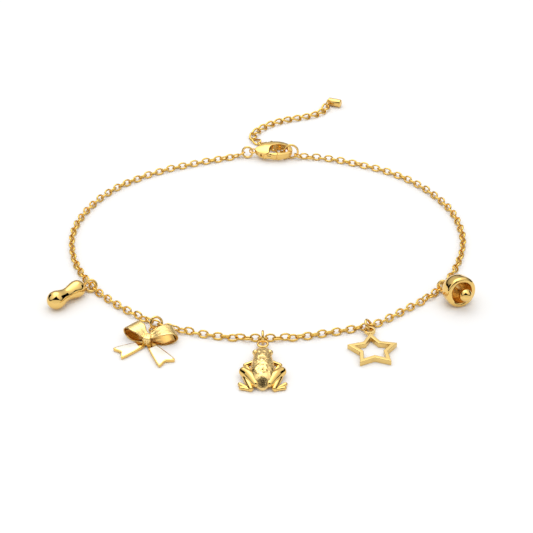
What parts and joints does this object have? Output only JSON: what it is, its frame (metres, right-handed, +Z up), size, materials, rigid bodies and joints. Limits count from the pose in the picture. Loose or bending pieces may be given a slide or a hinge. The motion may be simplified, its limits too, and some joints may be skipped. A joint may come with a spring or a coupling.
{
  "type": "charm necklace",
  "caption": "Gold cable-chain necklace lying closed, with lobster clasp, extender and small hanging charms: peanut, ribbon bow, frog, open star and bell.",
  "frame": {"origin": "centre of the bounding box in plan, on the table", "axes": "+Z up from the table, +Y from the middle charm across the loop to the clasp and extender, +X towards the bell"},
  "size_m": [0.1456, 0.1928, 0.0108],
  "materials": {
    "yellow_gold": "polished",
    "satin_gold": "satin",
    "ivory_enamel": "gloss"
  },
  "bodies": {
    "necklace": {"chain": "yellow_gold", "clasp_body": "yellow_gold", "ring_clasp": "yellow_gold", "ring_catch": "yellow_gold", "extender_link_01": "yellow_gold", "extender_link_02": "yellow_gold", "extender_link_03": "yellow_gold", "extender_link_04": "yellow_gold", "extender_link_05": "yellow_gold", "extender_link_06": "yellow_gold", "extender_link_07": "yellow_gold", "extender_link_08": "yellow_gold", "extender_link_09": "yellow_gold", "extender_link_10": "yellow_gold", "extender_link_11": "yellow_gold", "extender_link_12": "yellow_gold", "extender_link_13": "yellow_gold", "extender_link_14": "yellow_gold", "extender_link_15": "yellow_gold", "extender_link_16": "yellow_gold", "end_drop": "yellow_gold", "peanut": "yellow_gold", "ring_peanut": "yellow_gold", "ring_bow": "yellow_gold", "ring_frog": "yellow_gold", "ring_star": "yellow_gold", "ring_bell": "yellow_gold", "bell": "yellow_gold", "bell_clapper": "yellow_gold", "bow": "satin_gold", "frog": "satin_gold", "star": "satin_gold", "enamel_left": "ivory_enamel", "enamel_right": "ivory_enamel"},
    "lever": {"clasp_lever": "yellow_gold"}
  },
  "joints": [
    {"name": "lever_hinge", "type": "hinge", "parent": "necklace", "child": "lever", "pos_m": [0.00024, 0.04895, 0.0026], "axis": [0.0045, -0.2588, 0.9659], "range_deg": [0, 20], "stiffness_Nm_per_rad": 0.0002, "springref_deg": -20.05}
  ]
}
